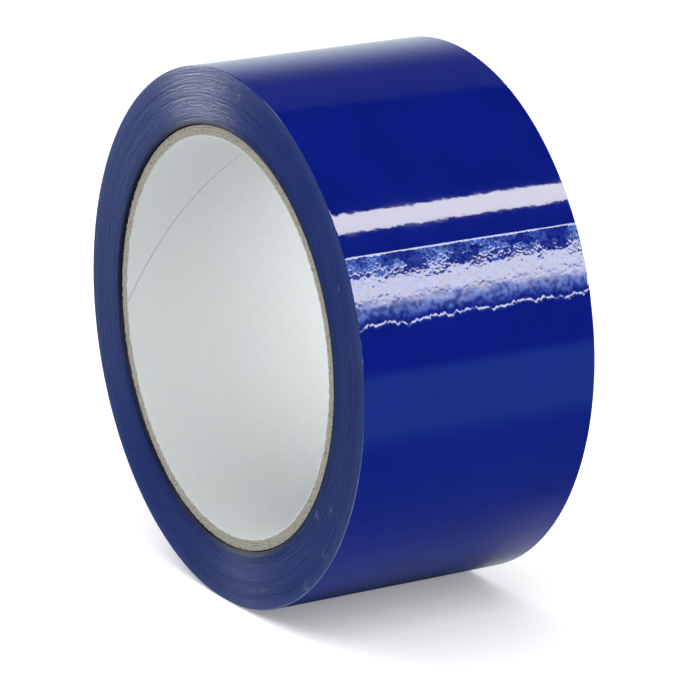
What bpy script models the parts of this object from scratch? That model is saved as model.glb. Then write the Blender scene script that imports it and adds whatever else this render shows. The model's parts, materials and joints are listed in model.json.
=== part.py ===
"""A roll of carton-sealing tape standing on its tread: a spiral-wound paperboard core of a white
liner and four board plies, the wound tape, and the free end of the tape, which peels up.

Frame: metres, +Z up, origin on the floor under the middle of the roll. The roll's axis is parallel
to Y, and its front side face looks along -Y. Angles round the roll are measured from +X towards +Z.
"""

import math

import bmesh
import bpy

# Driving dimensions.
BORE_RADIUS = 0.03825  # a 3 inch core with its usual clearance
TAPE_WIDTH = 0.0495
OUTER_RADIUS = 0.0517
CORE_LENGTH = 0.0485  # cut a little shorter than the tape, so each end is recessed
LINER_THICKNESS = 0.00025
PLY_THICKNESS = 0.00042
PLY_COUNT = 4
PLY_GAP = 0.00006  # the glue line between two plies
CORE_TO_TAPE_GAP = 0.00025

SEAM_HELIX_ANGLE = math.radians(30)  # between a ply's edge and the roll's circumference
SEAM_SLIT = 0.0003
LINER_SEAM_ANGLE = math.radians(120)  # where the liner's seam crosses the middle of the core
SEAM_STAGGER = math.radians(80)  # from each ply's seam to the next one's
BLADE_OVERRUN = 1.3  # the seam cutter's length as a multiple of the core's
BLADE_CLEARANCE = 0.0005

CUT_ANGLE = math.radians(30.2)  # the straight cut that ends the tape
PEEL_ANGLE = math.radians(15.6)  # where the free end is still bonded to the turn below
FREE_END_THICKNESS = 0.0003  # drawn thicker than the film
FREE_END_GAP = 0.0004

# Facets. A flat one faces straight down, so the roll stands on it.
FACETS = 72
BLADE_STEPS = 48
FREE_END_STEPS = 4
HALF_FACET = math.pi / FACETS
FACET_SCALE = 1 / math.cos(HALF_FACET)  # corner radius over the radius at the flats
MERGE_DISTANCE = 0.000001
SHARP_ANGLE = math.radians(30)

# Worked out from the driving dimensions.
LINER_OUTER_RADIUS = BORE_RADIUS + LINER_THICKNESS
PLY_PITCH = PLY_THICKNESS + PLY_GAP
CORE_RADIUS = LINER_OUTER_RADIUS + PLY_COUNT * PLY_PITCH
WINDING_RADIUS = CORE_RADIUS + CORE_TO_TAPE_GAP
POCKET_RADIUS = OUTER_RADIUS - FREE_END_THICKNESS - FREE_END_GAP
POCKET_MARGIN = FREE_END_GAP / OUTER_RADIUS  # the same gap as an angle, at the ends of the pocket
CUTTER_OVERSIZE = 0.002

LINER_PAPER = ("liner_paper", (0.62, 0.63, 0.61), 0.75)
CORE_BOARD = ("core_board", (0.30, 0.28, 0.23), 0.9)
TAPE_FILM = ("tape_film", (0.010, 0.022, 0.25), 0.18)


def clear_scene():
    for thing in list(bpy.data.objects):
        bpy.data.objects.remove(thing, do_unlink=True)


def new_collection(name):
    collection = bpy.data.collections.new(name)
    bpy.context.scene.collection.children.link(collection)
    return collection


def new_material(name, colour, roughness):
    material = bpy.data.materials.new(name)
    material.use_nodes = True
    shader = material.node_tree.nodes["Principled BSDF"]
    shader.inputs["Base Color"].default_value = (*colour, 1)
    shader.inputs["Roughness"].default_value = roughness
    shader.inputs["Metallic"].default_value = 0
    material.diffuse_color = (*colour, 1)
    return material


def new_empty(name, location, rotation, parent, collection):
    empty = bpy.data.objects.new(name, None)
    empty.location = location
    empty.rotation_euler = rotation
    empty.parent = parent
    collection.objects.link(empty)
    return empty


def new_object(name, outline, closed, parent, collection):
    """An object that holds one outline of straight edges, ready for a Screw modifier."""
    mesh = bpy.data.meshes.new(name)
    shape = bmesh.new()
    corners = [shape.verts.new(point) for point in outline]
    for first, second in zip(corners, corners[1:]):
        shape.edges.new((first, second))
    if closed:
        shape.edges.new((corners[-1], corners[0]))
    shape.to_mesh(mesh)
    shape.free()
    thing = bpy.data.objects.new(name, mesh)
    thing.parent = parent
    collection.objects.link(thing)
    return thing


def screw(thing, angle, steps, rise=0, axis_object=None):
    modifier = thing.modifiers.new("turn", "SCREW")
    modifier.axis = "Z"
    modifier.angle = angle
    modifier.steps = steps
    modifier.render_steps = steps
    modifier.screw_offset = rise
    modifier.object = axis_object
    modifier.use_merge_vertices = True
    modifier.merge_threshold = MERGE_DISTANCE
    modifier.use_smooth_shade = True
    return modifier


def solidify(thing, thickness, offset):
    modifier = thing.modifiers.new("thickness", "SOLIDIFY")
    modifier.thickness = thickness
    modifier.offset = offset
    modifier.use_even_offset = True
    return modifier


def cut(thing, cutter):
    modifier = thing.modifiers.new("cut_by_" + cutter.name, "BOOLEAN")
    modifier.operation = "DIFFERENCE"
    modifier.solver = "EXACT"
    modifier.object = cutter


def make_cutter(thing):
    thing.hide_render = True
    thing.display_type = "WIRE"


def keep_edges_sharp(thing):
    thing.data.shade_smooth()
    thing.data.set_sharp_from_angle(angle=SHARP_ANGLE)


def ring(name, inner, outer, length, parent, collection):
    """A tube round the parent's Z axis, with its flats at the radii given and one facing along -Y."""
    inner, outer, half = inner * FACET_SCALE, outer * FACET_SCALE, length / 2
    section = [(outer, 0, half), (outer, 0, -half), (inner, 0, -half), (inner, 0, half)]
    thing = new_object(name, section, True, parent, collection)
    thing.rotation_euler = (0, 0, HALF_FACET)
    screw(thing, math.tau, FACETS)
    return thing


def seam_blade(name, inner, outer, middle_angle, parent, collection):
    """A thin helical sheet that slits a ply from one end of the core to the other."""
    rise = CORE_LENGTH * BLADE_OVERRUN
    sweep = rise / (outer * math.tan(SEAM_HELIX_ANGLE))
    section = [(outer + BLADE_CLEARANCE, 0, -rise / 2), (inner - BLADE_CLEARANCE, 0, -rise / 2)]
    blade = new_object(name, section, False, parent, collection)
    blade.rotation_euler = (0, 0, middle_angle - sweep / 2)
    screw(blade, sweep, BLADE_STEPS, rise)
    solidify(blade, SEAM_SLIT, 0)
    make_cutter(blade)
    return blade


def core_ply(name, inner, thickness, seam_angle, material, stand, collection, cutters):
    outer = inner + thickness
    ply = ring(name, inner, outer, CORE_LENGTH, stand, collection)
    cut(ply, seam_blade(name + "_seam", inner, outer, seam_angle, stand, cutters))
    ply.data.materials.append(material)
    keep_edges_sharp(ply)


def make_core(stand, collection, cutters):
    paper = new_material(*LINER_PAPER)
    board = new_material(*CORE_BOARD)
    core_ply("core_inner_liner", BORE_RADIUS, LINER_THICKNESS, LINER_SEAM_ANGLE, paper,
             stand, collection, cutters)
    for number in range(1, PLY_COUNT + 1):
        inner = LINER_OUTER_RADIUS + PLY_GAP + (number - 1) * PLY_PITCH
        seam_angle = LINER_SEAM_ANGLE + number * SEAM_STAGGER
        core_ply(f"core_board_ply_{number}", inner, PLY_THICKNESS, seam_angle, board,
                 stand, collection, cutters)


def arc_sheet(name, radius, start, end, length, thickness, offset, parent, collection, axis_object=None):
    """A curved sheet between two angles round the roll, in the parent's frame."""
    origin = parent.location if axis_object else (0, 0, 0)
    x = radius * math.cos(start) - origin[0]
    y = radius * math.sin(start) - origin[1]
    section = [(x, y, length / 2), (x, y, -length / 2)]
    sheet = new_object(name, section, False, parent, collection)
    screw(sheet, end - start, FREE_END_STEPS, axis_object=axis_object)
    solidify(sheet, thickness, offset)
    return sheet


def make_winding(stand, collection, cutters, film):
    winding = ring("tape_winding", WINDING_RADIUS, OUTER_RADIUS, TAPE_WIDTH, stand, collection)
    start, end = PEEL_ANGLE - POCKET_MARGIN, CUT_ANGLE + POCKET_MARGIN
    depth = OUTER_RADIUS + CUTTER_OVERSIZE - POCKET_RADIUS
    pocket = arc_sheet("free_end_pocket", POCKET_RADIUS + depth, start, end,
                       TAPE_WIDTH + CUTTER_OVERSIZE, depth, -1, stand, cutters)
    make_cutter(pocket)
    cut(winding, pocket)
    winding.data.materials.append(film)
    keep_edges_sharp(winding)


def make_free_end(stand, collection, film):
    """The last stretch of the tape. Its origin is on the line that it peels about."""
    hinge_at = (OUTER_RADIUS * math.cos(PEEL_ANGLE), OUTER_RADIUS * math.sin(PEEL_ANGLE), 0)
    hinge = new_empty("peel_hinge", hinge_at, (0, 0, 0), stand, collection)
    free_end = arc_sheet("tape_free_end", OUTER_RADIUS, PEEL_ANGLE, CUT_ANGLE, TAPE_WIDTH,
                         FREE_END_THICKNESS, -1, hinge, collection, axis_object=stand)
    free_end.data.materials.append(film)
    keep_edges_sharp(free_end)


def main():
    clear_scene()
    collection = new_collection("tape_roll")
    cutters = new_collection("cutters")
    stand = new_empty("roll_axis", (0, 0, OUTER_RADIUS), (math.pi / 2, 0, 0), None, collection)
    film = new_material(*TAPE_FILM)
    make_core(stand, collection, cutters)
    make_winding(stand, collection, cutters, film)
    make_free_end(stand, collection, film)


main()
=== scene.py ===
"""The looks of a roll of carton-sealing tape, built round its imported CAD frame.

Everything is placed in cylinder coordinates round the roll: an angle from +X towards +Z, a radius
from the roll's axis, and a place along the axis (Y). Lengths are in metres, except where a name ends
in _mm or a comment says mm.
"""

import json
import math

import bmesh
import bpy
import numpy as np
from mathutils import Matrix, Vector, noise


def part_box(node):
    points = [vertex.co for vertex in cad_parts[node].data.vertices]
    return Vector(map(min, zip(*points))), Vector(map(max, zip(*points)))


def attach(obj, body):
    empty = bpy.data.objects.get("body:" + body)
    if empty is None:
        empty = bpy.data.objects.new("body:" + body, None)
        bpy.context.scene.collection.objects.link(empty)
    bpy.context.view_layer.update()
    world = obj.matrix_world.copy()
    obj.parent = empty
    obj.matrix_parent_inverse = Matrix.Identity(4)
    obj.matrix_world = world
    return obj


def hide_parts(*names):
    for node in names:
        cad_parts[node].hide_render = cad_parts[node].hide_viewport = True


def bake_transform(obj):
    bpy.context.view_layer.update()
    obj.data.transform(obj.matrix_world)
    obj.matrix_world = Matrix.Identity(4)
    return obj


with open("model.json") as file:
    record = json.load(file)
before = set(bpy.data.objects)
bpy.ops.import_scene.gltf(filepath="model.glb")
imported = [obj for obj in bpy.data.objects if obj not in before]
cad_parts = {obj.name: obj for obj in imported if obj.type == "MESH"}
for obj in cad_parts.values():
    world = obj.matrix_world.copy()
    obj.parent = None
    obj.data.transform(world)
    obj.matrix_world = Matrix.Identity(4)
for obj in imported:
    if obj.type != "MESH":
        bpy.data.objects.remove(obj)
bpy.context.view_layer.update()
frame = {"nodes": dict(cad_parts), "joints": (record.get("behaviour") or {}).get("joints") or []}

MM = 0.001
FACETS = 72  # flats round each of the CAD's round faces
FACET_FLAT = math.cos(math.pi / FACETS)  # a flat's distance from the axis over a corner's

# Sizes that come from the frame.
winding_low, winding_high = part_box("tape_winding")
OUTER_RADIUS = (winding_high.x - winding_low.x) / 2
TAPE_WIDTH = winding_high.y - winding_low.y
AXIS_HEIGHT = (winding_high.z + winding_low.z) / 2
PEEL_LINE = Vector(frame["joints"][0]["pos_m"])
PEEL_ANGLE = math.atan2(PEEL_LINE.z - AXIS_HEIGHT, PEEL_LINE.x)

# The film and its free end.
FILM_THICKNESS = 0.048 * MM
TURN_STEP = 0.06 * MM  # how far the last turn stands above the one below, glue included
CUT_ANGLE = math.radians(30.2)
BONDED_LENGTH = 1.5 * MM  # how far the free end's mesh runs on below the peel line
SPLICE_ANGLE = PEEL_ANGLE - BONDED_LENGTH / OUTER_RADIUS
FREE_LENGTH = (CUT_ANGLE - PEEL_ANGLE) * OUTER_RADIUS

# The core.
SEAM_SLOPE = math.tan(math.radians(30))
LINER_SEAM_ANGLE = math.radians(120)
SEAM_STAGGER = math.radians(80)
PLIES = 4
PLY_OVERLAP = 0.03 * MM  # each ply reaches inwards over part of the glue line under it

SHARP_ANGLE = math.radians(35)  # an edge that turns by more than this is drawn sharp


def node_radii(node):
    """A round CAD node's smallest radius at a vertex, and its outer radius at the flats.

    A ply's seam has vertices on the flats of its bore, and the winding's bore only has its corners."""
    points = np.array([vertex.co for vertex in frame["nodes"][node].data.vertices])
    radii = np.hypot(points[:, 0], points[:, 2] - AXIS_HEIGHT)
    return radii.min(), radii.max() * FACET_FLAT


BORE_RADIUS, LINER_OUTER = node_radii("core_inner_liner")
WINDING_INNER = node_radii("tape_winding")[0] * FACET_FLAT
CORE_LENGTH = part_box("core_inner_liner")[1].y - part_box("core_inner_liner")[0].y


# ---------------------------------------------------------------- mesh tools


def around(angle, radius, along):
    """Points at these angles, radii and places along the axis, as an array that ends in x, y, z."""
    angle, radius, along = np.broadcast_arrays(angle, radius, along)
    return np.stack([radius * np.cos(angle), along, AXIS_HEIGHT + radius * np.sin(angle)], axis=-1)


def noise_at(*coordinates, seed=0.0):
    """Smooth noise from -1 to 1 at up to three coordinate arrays of one shape."""
    arrays = [a.ravel() for a in np.broadcast_arrays(*coordinates)]
    while len(arrays) < 3:
        arrays.append(np.zeros_like(arrays[0]))
    values = [noise.noise(Vector((a + seed, b + seed, c + seed))) for a, b, c in zip(*arrays)]
    return np.array(values).reshape(np.broadcast(*coordinates).shape)


def smoothstep(low, high, value):
    """From 0 at low to 1 at high, level at both."""
    share = np.clip((value - low) / (high - low), 0, 1)
    return share * share * (3 - 2 * share)


def bump_at(value, centre, width):
    """A bell curve: 1 at the centre, and near 0 two widths away."""
    return np.exp(-(((value - centre) / width) ** 2))


def new_piece(name, points, faces):
    """A smooth-shaded mesh object, with each vertex's rest position kept for its materials."""
    points = points.reshape(-1, 3)
    mesh = bpy.data.meshes.new(name)
    mesh.from_pydata(points.tolist(), [], [face.tolist() for face in faces])
    shape = bmesh.new()
    shape.from_mesh(mesh)
    bmesh.ops.recalc_face_normals(shape, faces=shape.faces)
    shape.to_mesh(mesh)
    shape.free()
    mesh.shade_smooth()
    mesh.set_sharp_from_angle(angle=SHARP_ANGLE)
    place = mesh.attributes.new("place", "FLOAT_VECTOR", "POINT")
    place.data.foreach_set("vector", points.astype(np.float32).ravel())
    piece = bpy.data.objects.new(name, mesh)
    bpy.context.scene.collection.objects.link(piece)
    return piece


def revolved(name, loops):
    """A ring-shaped solid from closed loops, one for each angle all the way round."""
    index = np.arange(loops.shape[0] * loops.shape[1]).reshape(loops.shape[:2])
    ahead = np.roll(index, -1, axis=0)
    quads = np.stack([index, ahead, np.roll(ahead, -1, axis=1), np.roll(index, -1, axis=1)], axis=-1)
    return new_piece(name, loops, quads.reshape(-1, 4))


def thick_sheet(name, outer, inner):
    """A closed solid between two grids of points of one shape."""
    top = np.arange(outer.shape[0] * outer.shape[1]).reshape(outer.shape[:2])
    bottom = top + top.size

    def quads(a):
        return np.stack([a[:-1, :-1], a[1:, :-1], a[1:, 1:], a[:-1, 1:]], axis=-1).reshape(-1, 4)

    def wall(a, b):
        return np.stack([a[:-1], a[1:], b[1:], b[:-1]], axis=-1)

    faces = [quads(top), quads(bottom)[:, ::-1]]
    for border in (np.s_[0, :], np.s_[-1, :], np.s_[:, 0], np.s_[:, -1]):
        faces.append(wall(top[border], bottom[border]))
    return new_piece(name, np.stack([outer, inner]), np.concatenate(faces))


# ---------------------------------------------------------------- node trees


class Nodes:
    """A short way to write the node tree of a material or a world.

    Noise that is laid on a place has its scale in waves per metre. Bump distances are in metres."""

    def __init__(self, owner):
        owner.use_nodes = True
        self.owner = owner
        self.tree = owner.node_tree

    def add(self, kind, inputs=(), **settings):
        node = self.tree.nodes.new(kind)
        for key, value in settings.items():
            setattr(node, key, value)
        for key, value in dict(inputs).items():
            self.put(node.inputs[key], value)
        return node

    def put(self, socket, value):
        if isinstance(value, bpy.types.NodeSocket):
            self.tree.links.new(value, socket)
        else:
            socket.default_value = value

    def set(self, **values):
        """Sets inputs of the material's shader, such as Base_Color."""
        shader = self.tree.nodes["Principled BSDF"]
        for key, value in values.items():
            self.put(shader.inputs[key.replace("_", " ")], value)

    def place(self):
        return self.add("ShaderNodeAttribute", attribute_name="place").outputs["Vector"]

    def math(self, operation, a, b):
        return self.add("ShaderNodeMath", {0: a, 1: b}, operation=operation).outputs[0]

    def times(self, a, b):
        return self.math("MULTIPLY", a, b)

    def vector(self, operation, a, b=(0, 0, 0)):
        return self.add("ShaderNodeVectorMath", {0: a, 1: b}, operation=operation)

    def scaled(self, vector, factors):
        return self.vector("MULTIPLY", vector, factors).outputs[0]

    def noise(self, vector, scale, detail=2.0, roughness=0.5, distortion=0.0):
        inputs = {"Vector": vector, "Scale": scale, "Detail": detail, "Roughness": roughness,
                  "Distortion": distortion}
        return self.add("ShaderNodeTexNoise", inputs).outputs["Fac"]

    def range(self, value, low, high, to_low=0.0, to_high=1.0, smooth=False):
        """Maps low to to_low and high to to_high, and stays level beyond them."""
        inputs = {"Value": value, "From Min": low, "From Max": high, "To Min": to_low, "To Max": to_high}
        kind = "SMOOTHSTEP" if smooth else "LINEAR"
        return self.add("ShaderNodeMapRange", inputs, interpolation_type=kind).outputs["Result"]

    def mix(self, factor, a, b):
        node = self.add("ShaderNodeMix", data_type="RGBA")
        self.put(node.inputs["Factor"], factor)
        self.put(node.inputs["A"], a)
        self.put(node.inputs["B"], b)
        return node.outputs["Result"]

    def bump(self, height, distance, strength=1.0, under=None):
        inputs = {"Height": height, "Distance": distance, "Strength": strength}
        if under is not None:
            inputs["Normal"] = under
        return self.add("ShaderNodeBump", inputs).outputs["Normal"]

    def polar(self):
        """(direction round the roll as a unit vector, radius) of the rest position."""
        from_axis = self.vector("SUBTRACT", self.place(), (0, 0, AXIS_HEIGHT)).outputs[0]
        flat = self.scaled(from_axis, (1, 0, 1))
        radius = self.vector("LENGTH", flat).outputs["Value"]
        return self.vector("NORMALIZE", flat).outputs[0], radius

    def rings(self, turns, radial):
        """A coordinate that changes slowly round the roll and fast with the radius."""
        direction, radius = self.polar()
        rise = self.add("ShaderNodeCombineXYZ", {"Y": self.times(radius, radial)}).outputs[0]
        return self.vector("ADD", self.scaled(direction, (turns, turns, turns)), rise).outputs[0]


# ---------------------------------------------------------------- materials

# Linear colours of the film's face.
FILM_DEEP = (0.0023, 0.0072, 0.140, 1)
FILM_BRIGHT = (0.0028, 0.0088, 0.158, 1)
FILM_STREAK = (0.006, 0.015, 0.16, 1)
FILM_OVER_AIR = (0.062, 0.125, 0.43, 1)

# Linear colours of the film's adhesive side.
GLUE_DEEP = (0.011, 0.034, 0.25, 1)
GLUE_PALE = (0.019, 0.052, 0.31, 1)

# Linear colours of the side faces.
EDGE_DEEP = (0.0070, 0.0175, 0.110, 1)
EDGE_BRIGHT = (0.0105, 0.0240, 0.136, 1)
EDGE_CLOUD = (0.015, 0.030, 0.130, 1)
# Painted shade: darker on the turns next to the core, where they sink in.
EDGE_FIRST_TURNS_SHADE = (0.005, 0.012, 0.070, 1)
# Painted shade: nearly black in the crevice between the core and the turns.
EDGE_CREVICE_SHADE = (0.002, 0.005, 0.018, 1)
EDGE_LAST_TURNS = (0.040, 0.065, 0.19, 1)
# Real scuff spots and a painted highlight on part of the rim share this colour.
EDGE_SCUFF_AND_HIGHLIGHT = (0.20, 0.23, 0.33, 1)

# Linear colours of the core.
PAPER_GREY = (0.480, 0.500, 0.510, 1)
PAPER_WHITE = (0.530, 0.550, 0.560, 1)
PAPER_CLOUD = (0.505, 0.515, 0.50, 1)
BOARD_DARK = (0.20, 0.19, 0.155, 1)
BOARD_PALE = (0.40, 0.385, 0.33, 1)
BOARD_SPECK = (0.11, 0.10, 0.08, 1)

BEVEL_SLOPE = 0.045  # how much the cut edge of each turn leans outwards
RIM_HIGHLIGHT_SIDE = (0.77, 0, -0.64)  # towards the stretch of the rim that gets a painted highlight

# Small scuffs on the front side face: angle in degrees, radius in mm, size in mm.
SCUFFS = ((-66.6, 43.4, 0.7), (-35.7, 43.0, 1.2), (-30.0, 45.6, 1.1), (-52.0, 50.6, 1.6),
          (-72.0, 47.5, 0.9), (-40.0, 49.5, 1.4), (25.0, 47.0, 0.7), (200.0, 49.0, 0.8))


def film_material():
    """The glossy face of the blue film, paler where there is air under it."""
    nodes = Nodes(bpy.data.materials.new("tape_film"))
    place = nodes.place()
    direction, _ = nodes.polar()
    across = nodes.scaled(place, (0, 1, 0))
    drawn = nodes.vector("ADD", nodes.scaled(direction, (0.004, 0.004, 0.004)), across).outputs[0]
    streaks = nodes.noise(drawn, 2600, 4, 0.65)
    clouds = nodes.noise(place, 90, 3)
    colour = nodes.mix(nodes.range(clouds, 0.35, 0.65), FILM_DEEP, FILM_BRIGHT)
    colour = nodes.mix(nodes.range(streaks, 0.45, 0.75, 0, 0.25), colour, FILM_STREAK)
    air = nodes.add("ShaderNodeAttribute", attribute_name="air").outputs["Fac"]
    mottle = nodes.range(nodes.noise(place, 1100, 3), 0.3, 0.7, 0.75, 1.1)
    colour = nodes.mix(nodes.times(air, mottle), colour, FILM_OVER_AIR)
    smooth = nodes.range(nodes.noise(place, 300, 3), 0.3, 0.7, 0.03, 0.065)
    roughness = nodes.math("ADD", smooth, nodes.times(air, 0.14))
    normal = nodes.bump(nodes.noise(place, 420, 2, 0.4), 0.012 * MM)
    normal = nodes.bump(nodes.noise(place, 1150, 1, 0.4), 0.005 * MM, under=normal)
    normal = nodes.bump(streaks, 0.0008 * MM, under=normal)
    nodes.set(Base_Color=colour, Roughness=roughness, IOR=1.49, Normal=normal)
    return nodes.owner


def turn_edge_scuffs_and_highlight(nodes, place, direction, radius):
    """Where the front side face is pale, from 0 to 1: a painted highlight along its rim on one side, and
    small scuff spots.
    """
    scuffed = nodes.range(nodes.noise(place, 700, 4, 0.7), 0.44, 0.58)
    highlight_streaks = nodes.range(nodes.noise(place, 260, 4, 0.7), 0.35, 0.6, 0.25, 0.75)
    # A painted highlight along the rim on one side, broken into streaks by noise.
    rim_highlight = nodes.range(radius, OUTER_RADIUS - 0.42 * MM, OUTER_RADIUS - 0.15 * MM, 0.0, 0.9)
    towards_highlight_side = nodes.vector("DOT_PRODUCT", direction, RIM_HIGHLIGHT_SIDE).outputs["Value"]
    rim_highlight = nodes.times(rim_highlight, nodes.range(towards_highlight_side, 0.78, 0.93))
    scuffs_and_highlight = nodes.times(rim_highlight, highlight_streaks)
    for angle, mark_radius, size in SCUFFS:
        spot = around(math.radians(angle), mark_radius * MM, -TAPE_WIDTH / 2)
        away = nodes.vector("DISTANCE", place, spot).outputs["Value"]
        mark = nodes.times(nodes.range(away, 0.2 * size * MM, size * MM, 0.42, 0), scuffed)
        scuffs_and_highlight = nodes.math("MAXIMUM", scuffs_and_highlight, mark)
    return scuffs_and_highlight


def turn_edge_material():
    """The side faces: the edges of some 230 turns of film, in rings, each cut at a slight bevel."""
    nodes = Nodes(bpy.data.materials.new("tape_turn_edges"))
    place = nodes.place()
    direction, radius = nodes.polar()
    wide = nodes.noise(nodes.rings(1.2, 900), 1, 3, 0.6)
    lines = nodes.noise(nodes.rings(4.0, 2500), 1, 2, 0.6)
    fine = nodes.noise(nodes.rings(14.0, 5200), 1, 3, 0.7)
    clouds = nodes.noise(place, 120, 3)

    colour = nodes.mix(nodes.range(wide, 0.3, 0.7), EDGE_DEEP, EDGE_BRIGHT)
    colour = nodes.mix(nodes.range(clouds, 0.4, 0.7, 0, 0.3), colour, EDGE_CLOUD)
    # Painted shade: darker towards the core, where the turns sink in.
    first_turns_shade = nodes.range(radius, WINDING_INNER, WINDING_INNER + 3.2 * MM, 0.75, 0.0)
    colour = nodes.mix(first_turns_shade, colour, EDGE_FIRST_TURNS_SHADE)
    # Painted shade: nearly black in the crevice next to the core, which is also made rougher there.
    crevice_shade = nodes.range(radius, WINDING_INNER + 0.2 * MM, WINDING_INNER + 0.95 * MM, 0.85, 0.0)
    colour = nodes.mix(crevice_shade, colour, EDGE_CREVICE_SHADE)
    last_turns = nodes.range(radius, OUTER_RADIUS - 2.6 * MM, OUTER_RADIUS - 0.4 * MM, 0.0, 0.35)
    colour = nodes.mix(last_turns, colour, EDGE_LAST_TURNS)
    # Pale scuff spots, and a painted highlight on part of the rim.
    colour = nodes.mix(turn_edge_scuffs_and_highlight(nodes, place, direction, radius), colour, EDGE_SCUFF_AND_HIGHLIGHT)

    smooth = nodes.range(wide, 0.3, 0.7, 0.26, 0.32)
    roughness = nodes.math("ADD", smooth, nodes.times(crevice_shade, 0.35))
    normal = nodes.bump(nodes.times(radius, -1.0), BEVEL_SLOPE)
    normal = nodes.bump(wide, 0.07 * MM, 0.7, normal)
    normal = nodes.bump(lines, 0.08 * MM, 0.8, normal)
    normal = nodes.bump(fine, 0.04 * MM, 0.8, normal)
    tangent = nodes.add("ShaderNodeTangent", direction_type="RADIAL", axis="Y").outputs[0]
    nodes.set(Base_Color=colour, Roughness=roughness, IOR=1.5, Anisotropic=0.93,
              Anisotropic_Rotation=0.25, Tangent=tangent, Normal=normal)
    return nodes.owner


def glue_material():
    """The adhesive side of the film: a duller, paler blue."""
    nodes = Nodes(bpy.data.materials.new("tape_adhesive"))
    mottle = nodes.noise(nodes.place(), 900, 4, 0.6)
    colour = nodes.mix(nodes.range(mottle, 0.35, 0.65), GLUE_DEEP, GLUE_PALE)
    roughness = nodes.range(mottle, 0.3, 0.7, 0.22, 0.38)
    nodes.set(Base_Color=colour, Roughness=roughness, IOR=1.47, Normal=nodes.bump(mottle, 0.02 * MM))
    return nodes.owner


def paper_material():
    """The core's white liner paper."""
    nodes = Nodes(bpy.data.materials.new("liner_paper"))
    place = nodes.place()
    fibres = nodes.noise(nodes.scaled(place, (1, 0.35, 1)), 1900, 6, 0.7, 0.4)
    clouds = nodes.noise(place, 55, 3)
    colour = nodes.mix(nodes.range(fibres, 0.3, 0.7), PAPER_GREY, PAPER_WHITE)
    colour = nodes.mix(nodes.range(clouds, 0.35, 0.7, 0, 0.25), colour, PAPER_CLOUD)
    normal = nodes.bump(fibres, 0.02 * MM, 0.45)
    nodes.set(Base_Color=colour, Roughness=0.78, IOR=1.45, Normal=normal)
    return nodes.owner


def board_material():
    """Grey recycled board, with fibres and specks."""
    nodes = Nodes(bpy.data.materials.new("core_board"))
    place = nodes.place()
    fibres = nodes.noise(place, 2600, 6, 0.75, 0.6)
    specks = nodes.noise(place, 1500, 2, 0.5)
    colour = nodes.mix(nodes.range(fibres, 0.3, 0.7), BOARD_DARK, BOARD_PALE)
    colour = nodes.mix(nodes.range(specks, 0.6, 0.72, 0, 0.7), colour, BOARD_SPECK)
    nodes.set(Base_Color=colour, Roughness=0.92, Normal=nodes.bump(fibres, 0.08 * MM, 0.9))
    return nodes.owner


# ---------------------------------------------------------------- the wound tape

# Waves of the outermost turn in mm: height, length round the roll, length across it; and a seed.
TREAD_WAVES = ((0.0055, 8.5, 7.0, 3.1), (0.0032, 3.0, 2.2, 7.7), (0.0022, 45.0, 2.2, 12.4))

# Relief of the side faces: height in mm, changes round the roll, ring width in mm; and a seed.
SIDE_RINGS = ((0.016, 1.3, 1.1, 5.3), (0.009, 7.0, 0.42, 9.1))
FIRST_TURNS_DEPTH = 0.17  # mm that the turns next to the core sink in
FIRST_TURNS_REACH = 0.50  # mm from the core
BACK_FACE_TURN = 2.0  # radians that the back face's relief is turned from the front's

WINDING_ANGLES, SIDE_RINGS_DRAWN, TREAD_ROWS = 480, 46, 66
RIM_RADIUS = 0.14 * MM  # the rounding between tread and side face
RIM_ANGLES = np.radians([22.5, 45, 67.5])  # where that rounding has points of its own
STEP_ANGLE = 1e-4  # radians in which the last turn steps down to the one below
WALL_MARGIN = 0.3 * MM  # from the side faces to the first row of points on the wall round the core
WALL_GROWTH = 0.02 * MM  # how far that wall stands in towards the core


def tread_wave(angle, along):
    """The slight unevenness of the outermost turn, which shows only in what it reflects."""
    arc_mm = angle * OUTER_RADIUS / MM
    along_mm = along / MM
    waves = [height * noise_at(arc_mm / round_length, along_mm / cross_length, seed=seed)
             for height, round_length, cross_length, seed in TREAD_WAVES]
    return sum(waves) * MM


def side_relief(angle, radius):
    """How far the turns' edges stand out of the side face, which is never quite flat."""
    depth_mm = (radius - WINDING_INNER) / MM
    relief = -FIRST_TURNS_DEPTH * np.exp(-depth_mm / FIRST_TURNS_REACH)
    for height, rate, ring_width, seed in SIDE_RINGS:
        relief += height * noise_at(rate * np.cos(angle), rate * np.sin(angle), depth_mm / ring_width,
                                    seed=seed)
    return relief * MM


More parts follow.
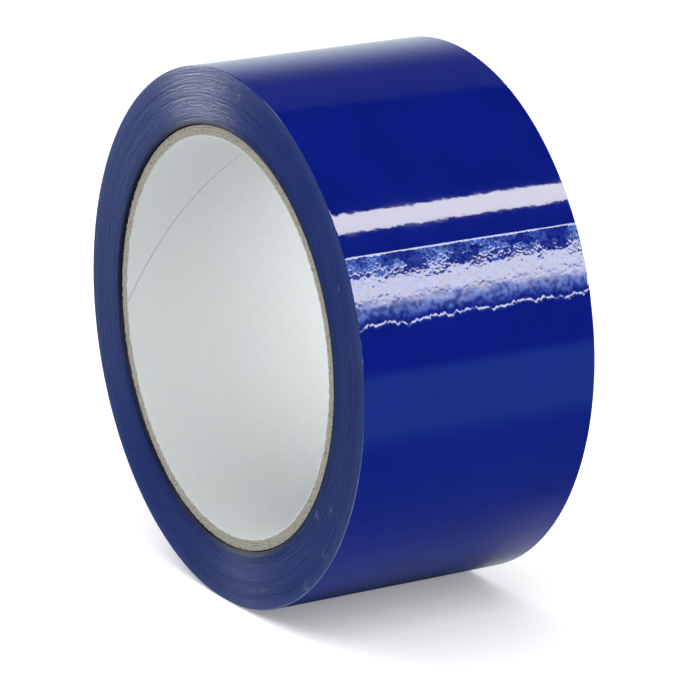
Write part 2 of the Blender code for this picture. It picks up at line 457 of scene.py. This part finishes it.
def wound_tape(film, edges):
    """All the turns down to the peel line, as one ring whose outside is the last turn's spiral."""
    angle = SPLICE_ANGLE + np.linspace(0, math.tau, WINDING_ANGLES, endpoint=False)
    angle = np.concatenate([angle, [SPLICE_ANGLE + math.tau - STEP_ANGLE]])
    share = (angle - SPLICE_ANGLE) / math.tau
    outside = (OUTER_RADIUS - TURN_STEP * (1 - share))[:, None]
    half = TAPE_WIDTH / 2

    depth = np.linspace(0, 1, SIDE_RINGS_DRAWN)
    side_radius = WINDING_INNER + depth * (outside - RIM_RADIUS - WINDING_INNER)
    angles = np.broadcast_to(angle[:, None], side_radius.shape)
    fade = 1 - smoothstep(0.93, 1.0, depth)  # no relief where the side face meets the rim
    front = around(angles, side_radius, -half - side_relief(angles, side_radius) * fade)
    back = around(angles, side_radius, half + side_relief(angles + BACK_FACE_TURN, side_radius) * fade)

    along = np.linspace(-half + RIM_RADIUS, half - RIM_RADIUS, TREAD_ROWS - 2)
    edge_row = 0.08 * MM  # one more row of points this near each end of the tread
    along = np.insert(along, [1, TREAD_ROWS - 3], [along[0] + edge_row, along[-1] - edge_row])
    tread_angle, tread_along = np.broadcast_arrays(angle[:, None], along)
    tread = around(tread_angle, outside + tread_wave(tread_angle, tread_along), tread_along)

    def rim_points(side):
        radius = outside - RIM_RADIUS + RIM_RADIUS * np.sin(RIM_ANGLES)
        return around(angle[:, None], radius, side * (half - RIM_RADIUS + RIM_RADIUS * np.cos(RIM_ANGLES)))

    inner_along = np.linspace(half - WALL_MARGIN, -half + WALL_MARGIN, 4)
    inner_wall = around(angle[:, None], WINDING_INNER - WALL_GROWTH, inner_along)
    loops = np.concatenate([front, rim_points(-1), tread, rim_points(1)[:, ::-1], back[:, ::-1],
                            inner_wall], axis=1)
    piece = revolved("tape_wound_turns", loops)
    piece.data.materials.append(film)
    piece.data.materials.append(edges)
    first_film = SIDE_RINGS_DRAWN + 1
    last_film = SIDE_RINGS_DRAWN + TREAD_ROWS + 4
    slot = np.ones(loops.shape[:2], int)
    slot[:, first_film:last_film] = 0
    piece.data.polygons.foreach_set("material_index", slot.ravel())
    return piece


# ---------------------------------------------------------------- the free end

# The edge of the bonded film, in mm: how far it wanders, over what length; and a seed.
RAGGED_STEPS = ((0.55, 5.5, 21.3), (0.65, 1.7, 4.9), (0.50, 0.6, 15.2))

# Heights in mm over the turn below.
RIDGE_HEIGHT = 0.060
LIFT = 0.040
STREAK_HEIGHT = 0.006
SWELL_HEIGHT = 0.020
NET_HEIGHT = 0.028
FINE_NET_HEIGHT = 0.010
LOOSE_CELL_HEIGHT = 0.008
PEBBLE_HEIGHT = 0.007
SIDE_SAG = 0.030  # how far the film's long edges hang back down
DEEPEST = -0.008  # no point of the film goes lower than this

CELL_SIZE, FINE_CELL_SIZE, PEBBLE_SIZE = 0.85, 0.55, 1.0  # mm
PRESSED_ROWS = ((0.75, 9.5, 0.75), (0.6, 11.7, 0.55))  # strength, mm above the peel line, width in mm
LOOSE_ROW = (0.45, 10.6, 0.45)  # between them, in the same terms

DIMPLE_PITCH = 0.95  # mm
DIMPLE_SHARE = 0.65  # of the places for one that have one

FREE_END_COLUMNS, FREE_END_ROWS = 120, 405
FREE_END_INSET = 0.05 * MM  # how far its long edges stay in from the side faces


def ragged_line(along_mm):
    """How far the edge of the bonded film wanders from the peel line, in mm."""
    return sum(size * noise_at(along_mm / length, seed=seed) for size, length, seed in RAGGED_STEPS)


def cells(arc_mm, along_mm, size):
    """Irregular cells: (distance to the nearest border in mm, arc and place of each point's cell)."""
    found = []
    for arc, along in zip(arc_mm.ravel(), along_mm.ravel()):
        warp = 0.3 * noise.noise(Vector((arc / 0.9, along / 0.9, 8.8)))
        distances, sites = noise.voronoi(Vector(((arc + warp) / size, (along - warp) / size, 0.0)))
        found.append((distances[1] - distances[0], sites[0].x, sites[0].y))
    border, cell_arc, cell_along = size * np.array(found).T
    return border.reshape(arc_mm.shape), cell_arc.reshape(arc_mm.shape), cell_along.reshape(arc_mm.shape)


def dimples(arc_mm, along_mm):
    """How far small round spots of the film are pulled down. Every length in it is in mm."""
    random = np.random.default_rng(11)
    depth = np.zeros_like(arc_mm)
    for row in range(int(FREE_LENGTH / MM / DIMPLE_PITCH) + 1):
        for column in range(int(TAPE_WIDTH / MM / DIMPLE_PITCH) + 1):
            jitter = random.uniform(-0.48, 0.48, 2) * DIMPLE_PITCH
            radius = random.uniform(0.16, 0.30)
            deep = random.uniform(0.006, 0.018) * (random.random() < DIMPLE_SHARE)
            arc = (row + 0.5) * DIMPLE_PITCH + jitter[0]
            along = (column + 0.5) * DIMPLE_PITCH + jitter[1] - TAPE_WIDTH / MM / 2
            near = (np.abs(arc_mm - arc) < 3 * radius) & (np.abs(along_mm - along) < 3 * radius)
            distance = np.hypot(arc_mm[near] - arc, along_mm[near] - along)
            depth[near] += deep * np.exp(-((distance / radius) ** 2))
    return depth


def bond_ridge(arc_mm, along_mm, above):
    """The thin ridge along the edge of the bonded film, in mm, broken up along its length."""
    broken = np.clip(1.0 + 1.3 * noise_at(along_mm / 0.9, arc_mm / 4.0, seed=31.7), 0.45, 1.4)
    flank = 0.53 + 0.36 * noise_at(along_mm / 0.7, seed=61.0)
    return RIDGE_HEIGHT * smoothstep(-0.18, 0.02, above) * np.clip(1 - above / flank, 0, 1) * broken


def net_below_cut(arc_mm, along_mm):
    """The film near the cut: (its relief in mm, how much air is under it from 0 to 1).

    It is a net of thin ridges round cells. In two rows most cells are pressed down on the turn
    below, and near the front side face most are loose."""
    border, cell_arc, cell_along = cells(arc_mm, along_mm, CELL_SIZE)
    pressed = 0.34 + 1.9 * noise_at(cell_arc / 1.5, cell_along / 3.2, seed=17.6)
    for strength, row_arc, width in PRESSED_ROWS:
        pressed += strength * bump_at(cell_arc, row_arc, width)
    strength, row_arc, width = LOOSE_ROW
    pressed -= strength * bump_at(cell_arc, row_arc, width)
    pressed -= 0.6 * smoothstep(14.0, 20.0, -cell_along)
    loose = np.clip(1 - pressed, 0.04, 1)
    rims = bump_at(border, 0, 0.14)
    fine_rims = bump_at(cells(arc_mm + 50, along_mm, FINE_CELL_SIZE)[0], 0, 0.12)
    relief = NET_HEIGHT * rims * (0.25 + 0.75 * loose)
    relief += LOOSE_CELL_HEIGHT * loose * smoothstep(0.1, 0.5, border)
    relief += FINE_NET_HEIGHT * fine_rims * loose
    air = loose * (0.14 + 0.42 * fine_rims) + rims * (0.12 + 0.55 * loose)
    return relief, air


def trapped_air(arc_mm, along_mm):
    """The free end over the turn below: (its height in mm, how much air is under it from 0 to 1).

    From the ragged edge of the bonded film upwards come a ridge, a smooth rise, a stretch of small
    dimples, and then the net below the cut."""
    above = arc_mm - ragged_line(along_mm)
    off_cut = smoothstep(0.25, 0.6, FREE_LENGTH / MM - arc_mm)
    upper = smoothstep(8.2, 9.0, arc_mm + 0.9 * noise_at(along_mm / 1.9, seed=40.4))
    pebbled = smoothstep(3.4, 5.2, above) * (1 - upper)

    streaks = STREAK_HEIGHT * noise_at(arc_mm / 2.5, along_mm / 0.6, seed=6.1)
    swell = SWELL_HEIGHT * noise_at(arc_mm / 2.1, along_mm / 2.6, seed=2.2)
    net, net_air = net_below_cut(arc_mm, along_mm)
    pebbles = PEBBLE_HEIGHT * bump_at(cells(arc_mm + 90, along_mm, PEBBLE_SIZE)[0], 0, 0.2)
    height = LIFT * smoothstep(0.65, 1.5, above) + bond_ridge(arc_mm, along_mm, above)
    height += streaks * smoothstep(0.4, 1.2, above)
    height += off_cut * (swell * smoothstep(1.5, 4.0, above) + upper * net)
    height += off_cut * pebbled * (pebbles - dimples(arc_mm, along_mm))

    blotches = np.clip(0.65 + 1.3 * noise_at(arc_mm / 0.9, along_mm / 0.8, seed=50.5), 0.2, 1.0)
    air = 0.68 * smoothstep(0.5, 2.4, above) * blotches * (1 - 0.35 * pebbled)
    air += 0.30 * bump_at(above, 0.25, 0.3)
    return height, air * (1 - upper) + upper * net_air


def free_end(film, glue):
    """The last stretch of film: bonded below the ragged line, loose above it, up to the cut."""
    half = TAPE_WIDTH / 2
    arc = np.linspace(-BONDED_LENGTH, FREE_LENGTH, FREE_END_COLUMNS)
    along = np.linspace(-half + FREE_END_INSET, half - FREE_END_INSET, FREE_END_ROWS)
    arc, along = np.broadcast_arrays(arc[:, None], along)
    angle = PEEL_ANGLE + arc / OUTER_RADIUS
    height, air = trapped_air(arc / MM, along / MM)
    from_cut_mm = (FREE_LENGTH - arc) / MM
    from_side_mm = (half - np.abs(along)) / MM
    height *= smoothstep(0.0, 0.42, from_cut_mm)
    height -= SIDE_SAG * (1 - smoothstep(0.05, 0.45, from_side_mm)) * smoothstep(0.2, 1.2, arc / MM)
    outside = OUTER_RADIUS + tread_wave(angle, along) + np.maximum(height, DEEPEST) * MM
    top = around(angle, outside, along)
    bottom = around(angle, outside - FILM_THICKNESS, along)
    piece = thick_sheet("tape_free_end_film", top, bottom)
    piece.data.materials.append(film)
    piece.data.materials.append(glue)
    faces_each_side = (FREE_END_COLUMNS - 1) * (FREE_END_ROWS - 1)
    slot = np.zeros(len(piece.data.polygons), int)
    slot[faces_each_side:2 * faces_each_side] = 1
    piece.data.polygons.foreach_set("material_index", slot)
    layer = piece.data.attributes.new("air", "FLOAT", "POINT")
    layer.data.foreach_set("value", np.tile(air.ravel(), 2).astype(np.float32))
    return piece


# ---------------------------------------------------------------- the core

LINER_SLIT, BOARD_SLIT = 0.24 * MM, 0.3 * MM  # how far apart the two edges of a strip are at its seam
LINER_FRAY, BOARD_FRAY = 0.16, 0.20  # how rough the cut ends are, in mm
LINER_COLUMNS, BOARD_COLUMNS = 960, 720
END_ROUNDING = 0.03 * MM
END_ZONE, FRAYED_ZONE = 0.9 * MM, 0.4 * MM  # how far in from the ends the close rows and the fray go
CLOSE_ROW = 0.35 * MM  # from an end to the row of points inside that zone


def core_sheet(name, inner, outer, seam_angle, slit, fray, columns, seed):
    """A ply: a strip wound round once, its two edges meeting along a helical butt seam."""
    half = CORE_LENGTH / 2
    middle = np.linspace(-half + END_ZONE, half - END_ZONE, 31)
    ends = np.array([half - END_ROUNDING, half])
    close_row = half - CLOSE_ROW
    along = np.concatenate([-ends[::-1], [-close_row], middle, [close_row], ends])
    inset = np.zeros_like(along)
    inset[[0, -1]] = END_ROUNDING
    share = np.linspace(0, 1, columns)[:, None]
    gap = slit / inner
    start = seam_angle - along / (inner * SEAM_SLOPE)
    angle = start + gap / 2 + share * (math.tau - gap)
    arc_mm = angle * inner / MM
    end = np.sign(along)
    coarse_fray = noise_at(arc_mm / 0.9, end, seed=seed)
    frayed = fray * (coarse_fray + 0.8 * noise_at(arc_mm / 0.35, end, seed=seed + 3))
    at_end = smoothstep(half - FRAYED_ZONE, half, np.abs(along))
    rise = 0.35 * fray * noise_at(arc_mm / 0.7, along / MM / 1.5, seed=seed + 8) * at_end * MM
    along = along + end * frayed * at_end * MM
    top = around(angle, outer - inset + rise, along)
    bottom = around(angle, inner + inset + rise, along)
    return thick_sheet(name, top, bottom)


def make_core(paper, board):
    """The liner and the board plies, as (piece, the node it stands for, slot)."""
    liner = core_sheet("core_liner_paper", BORE_RADIUS, LINER_OUTER, LINER_SEAM_ANGLE, LINER_SLIT,
                       LINER_FRAY, LINER_COLUMNS, 1.7)
    liner.data.materials.append(paper)
    made = [(liner, "core_inner_liner", "liner_paper")]
    for number in range(1, PLIES + 1):
        node = f"core_board_ply_{number}"
        inner, outer = node_radii(node)
        seam = LINER_SEAM_ANGLE + number * SEAM_STAGGER
        ply = core_sheet(f"core_board_layer_{number}", inner - PLY_OVERLAP, outer, seam, BOARD_SLIT,
                         BOARD_FRAY, BOARD_COLUMNS, 10.0 * number)
        ply.data.materials.append(board)
        made.append((ply, node, "core_board"))
    return made


# ---------------------------------------------------------------- stage, light and camera

CAMERA_AZIMUTH, CAMERA_ELEVATION = 58.98, 16.22  # degrees
CAMERA_DISTANCE = 0.8556
CAMERA_LENS = 231.8  # mm, on a sensor 36 mm wide
LOOK_AT = Vector((5.49 * MM, 0, AXIS_HEIGHT - 4.51 * MM))

FLOOR_SIZE = 8
FLOOR_DROP = 0.02 * MM  # keeps the floor just clear of the roll
CARD_DROP = 0.01 * MM  # the card lies just over the floor
CARD_MIDDLE, CARD_SIZE = (-0.03, 0.08), (0.16, 0.13)

# The lights that the tread mirrors as bands: their lower and upper height in degrees, seen from the
# roll's axis, and their radiance.
STRIP = (52.2, 60.5, 15.5)
WINDOW_STEPS = ((23.5, 32.5, 14), (21.5, 23.5, 9), (20, 21.5, 3.2), (18, 20, 0.8), (14, 18, 0.15))
BACK_STRIP = (106, 117, 5.0)
STRIP_WHITE, WINDOW_WHITE, BACK_WHITE = (1.0, 0.97, 0.90), (0.99, 0.96, 0.87), (1.0, 0.98, 0.94)
STRIP_DISTANCE, STRIP_LENGTH = 1.0, 1.35
STRIP_MIDDLE, BACK_STRIP_MIDDLE = 0.425, -0.445  # along the roll's axis

# Narrow windows, which the side faces mirror as fans: azimuth, elevation, radiance.
LEFT_WINDOW = (-64.5, 7, 34)
OTHER_WINDOWS = ((60, 6, 26), (134, 6, 26), (226, 6, 26))  # these light nothing matt
WINDOW_DISTANCE, WINDOW_WIDTH, WINDOW_HEIGHT = 1.3, 0.11, 0.35

# Lights that the gloss doesn't show: name, azimuth, elevation, distance, width, height, radiance.
FILLS = (("overhead", -60, 75, 3.0, 6.0, 6.0, 1.15),
         ("side_fill", 95, 38, 2.0, 3.0, 2.0, 1.9),
         ("left_fill", -68, 50, 1.8, 1.4, 1.4, 1.7),
         ("front_fill", 35, 45, 1.6, 1.8, 1.6, 0.70),
         ("right_fill", 95, 12, 1.6, 1.4, 0.8, 0.9),
         ("bore_fill", 112, 14, 1.6, 1.2, 0.8, 7.0))


def direction(azimuth, elevation):
    """The unit vector towards an azimuth (0 is -Y, 90 is +X) and a height over the horizon."""
    azimuth, elevation = math.radians(azimuth), math.radians(elevation)
    flat = math.cos(elevation)
    return Vector((math.sin(azimuth) * flat, -math.cos(azimuth) * flat, math.sin(elevation)))


def soft_light(name, towards, distance, width, height, radiance, colour=(1, 1, 1)):
    """A rectangular light whose width is level, facing the roll."""
    light = bpy.data.lights.new(name, "AREA")
    light.shape = "RECTANGLE"
    light.size, light.size_y = width, height
    light.energy = radiance * math.pi * width * height
    light.color = colour
    lamp = bpy.data.objects.new(name, light)
    lamp.location = Vector((0, 0, AXIS_HEIGHT)) + towards.normalized() * distance
    lamp.rotation_euler = towards.to_track_quat("Z", "Y").to_euler()
    bpy.context.scene.collection.objects.link(lamp)
    return lamp


def long_light(name, low_degrees, high_degrees, radiance, colour, middle=STRIP_MIDDLE):
    """A strip light parallel to the roll's axis, which the gloss shows and which lights nothing matt."""
    height = math.radians((low_degrees + high_degrees) / 2)
    width = 2 * STRIP_DISTANCE * math.tan(math.radians(high_degrees - low_degrees) / 2)
    outward = Vector((math.cos(height), 0, math.sin(height)))
    lamp = soft_light(name, outward, STRIP_DISTANCE, STRIP_LENGTH, width, radiance, colour)
    lamp.location.y = middle
    lamp.visible_diffuse = False
    along = Vector((0, 1, 0))
    lamp.rotation_euler = Matrix((along, outward.cross(along), outward)).transposed().to_euler()
    return lamp


def window_light(name, azimuth, elevation, radiance):
    """A narrow upright light that stands for a tall window."""
    return soft_light(name, direction(azimuth, elevation), WINDOW_DISTANCE, WINDOW_WIDTH, WINDOW_HEIGHT,
                      radiance)


def make_lights(core_pieces):
    """All the lights. The one named bore_fill lights only the core's pieces."""
    core = bpy.data.collections.new("lit_by_bore_fill")
    for piece in core_pieces:
        core.objects.link(piece)
    long_light("strip_light", *STRIP, STRIP_WHITE)
    for low, high, radiance in WINDOW_STEPS:
        long_light(f"window_from_{low}", low, high, radiance, WINDOW_WHITE)
    window_light("left_window", *LEFT_WINDOW)
    for azimuth, elevation, radiance in OTHER_WINDOWS:
        window = window_light(f"window_at_{azimuth}", azimuth, elevation, radiance)
        window.visible_diffuse = False
    fills = {}
    for name, azimuth, elevation, distance, width, height, radiance in FILLS:
        towards = direction(azimuth, elevation)
        fills[name] = soft_light(name, towards, distance, width, height, radiance)
        fills[name].visible_glossy = False
    fills["bore_fill"].light_linking.receiver_collection = core
    long_light("back_strip", *BACK_STRIP, BACK_WHITE, BACK_STRIP_MIDDLE)


def make_world():
    """What the gloss mirrors beyond the lights, painted by the direction it lies in.

    Behind the roll (+Y) there is a pale backdrop on the -X side, brightest at the horizon, and a dim
    floor on the +X side, bluer farther off. In front (-Y) there is a pale patch on the -X side."""
    nodes = Nodes(bpy.data.worlds.new("studio"))
    bpy.context.scene.world = nodes.owner
    background = nodes.tree.nodes["Background"]

    def rise(value, low, high, to_low=0.0, to_high=1.0):
        return nodes.range(value, low, high, to_low, to_high, smooth=True)

    def tinted(level, colour):
        scaled = nodes.add("ShaderNodeVectorMath", {0: colour, "Scale": level}, operation="SCALE")
        return scaled.outputs["Vector"]

    def together(a, b):
        return nodes.vector("ADD", a, b).outputs["Vector"]

    towards = nodes.add("ShaderNodeTexCoord").outputs["Generated"]
    axes = nodes.add("ShaderNodeSeparateXYZ", {0: towards}).outputs
    x, y, z = axes["X"], axes["Y"], axes["Z"]
    behind = rise(y, 0.0, 0.2)
    in_front = rise(y, 0.0, 0.2, 1.0, 0.0)

    backdrop = nodes.times(rise(z, 0.13, 0.58, 0.95, 0.13), rise(z, 0.74, 0.775, 1.0, 0.0))
    backdrop_edges = nodes.times(rise(x, -0.45, -0.20, 1.0, 0.0), rise(z, -0.28, -0.20))
    backdrop = nodes.times(nodes.times(backdrop, backdrop_edges), behind)

    lit_floor = nodes.times(rise(z, -0.58, -0.42, 0.0, 0.42), rise(z, -0.16, -0.08, 1.0, 0.0))
    lit_floor = nodes.times(nodes.times(lit_floor, rise(x, 0.0, 0.4)), behind)
    dim_floor = nodes.times(rise(x, 0.0, 0.5), rise(z, -0.14, -0.06, 1.0, 0.0))
    dim_floor = nodes.times(nodes.times(dim_floor, 0.13), behind)
    near_floor = nodes.times(rise(x, -0.15, 0.60, 0.21, 0.0), rise(x, -0.85, -0.20, 0.05, 1.0))
    near_floor = nodes.times(nodes.times(near_floor, rise(z, -0.50, -0.35, 1.0, 0.0)), behind)

    low_left = nodes.times(rise(x, -0.86, -0.66, 0.75, 0.0), rise(z, -0.60, -0.32, 1.0, 0.0))
    far_left = rise(x, -0.955, -0.90, 1.45, 0.03)
    left_front = nodes.times(nodes.math("ADD", far_left, low_left), in_front)

    colour = together(tinted(backdrop, (0.90, 1.0, 1.05)), tinted(lit_floor, (0.30, 0.80, 1.3)))
    floor_colour = together(tinted(dim_floor, (0.35, 0.9, 1.0)), tinted(near_floor, (0.8, 1.0, 1.1)))
    colour = together(colour, floor_colour)
    colour = together(colour, tinted(left_front, (0.66, 0.84, 1.0)))
    nodes.put(background.inputs["Color"], colour)


def make_floor():
    """A plain white floor that gives off a little light, and that the gloss doesn't show."""
    bpy.ops.mesh.primitive_plane_add(size=FLOOR_SIZE, location=(0, 0, -FLOOR_DROP))
    floor = bpy.context.active_object
    floor.name = "floor"
    nodes = Nodes(bpy.data.materials.new("floor"))
    nodes.set(Base_Color=(0.88, 0.88, 0.88, 1), Roughness=0.9, Specular_IOR_Level=0.0)
    nodes.set(Emission_Color=(1, 1, 1, 1), Emission_Strength=0.22)
    floor.data.materials.append(nodes.owner)
    floor.visible_glossy = False


def make_reflector():
    """A pale card on the floor behind the roll, fading at two edges, which only the gloss sees."""
    bpy.ops.mesh.primitive_plane_add(size=1, location=(*CARD_MIDDLE, -CARD_DROP))
    card = bpy.context.active_object
    card.name = "far_card"
    card.scale = (*CARD_SIZE, 1)
    nodes = Nodes(bpy.data.materials.new("far_card"))
    position = nodes.add("ShaderNodeNewGeometry").outputs["Position"]
    place = nodes.add("ShaderNodeSeparateXYZ", {0: position}).outputs
    shown = nodes.times(nodes.range(place["X"], 0.018, 0.050, 0.85, 0.0),
                        nodes.range(place["Y"], 0.016, 0.032))
    nodes.set(Base_Color=(0.85, 0.85, 0.85, 1), Roughness=0.9, Alpha=shown)
    card.data.materials.append(nodes.owner)
    card.visible_camera = False
    card.visible_diffuse = False
    card.visible_shadow = False


def make_camera():
    """The photo's view, as fitted to the outlines of the bore, the side face and the tread."""
    data = bpy.data.cameras.new("camera")
    data.sensor_width = 36
    data.lens = CAMERA_LENS
    data.clip_start, data.clip_end = 0.01, 20
    camera = bpy.data.objects.new("camera", data)
    bpy.context.scene.collection.objects.link(camera)
    back = direction(CAMERA_AZIMUTH, CAMERA_ELEVATION)
    camera.location = LOOK_AT + back * CAMERA_DISTANCE
    camera.rotation_euler = back.to_track_quat("Z", "Y").to_euler()
    bpy.context.scene.camera = camera


def main():
    """Makes the seven pieces, hides the CAD node that each stands for, hangs all but the free end on the
    body roll, and then makes the surroundings.
    """
    film, edges, glue = film_material(), turn_edge_material(), glue_material()
    roll = wound_tape(film, edges)
    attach(roll, "roll")
    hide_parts("tape_winding")

    end = free_end(film, glue)
    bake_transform(end)
    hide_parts("tape_free_end")

    core = make_core(paper_material(), board_material())
    for piece, node, slot in core:
        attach(piece, "roll")
        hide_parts(node)

    make_world()
    make_floor()
    make_reflector()
    make_camera()
    make_lights([piece for piece, _, _ in core])
    bpy.context.scene.view_settings.view_transform = "Standard"


main()
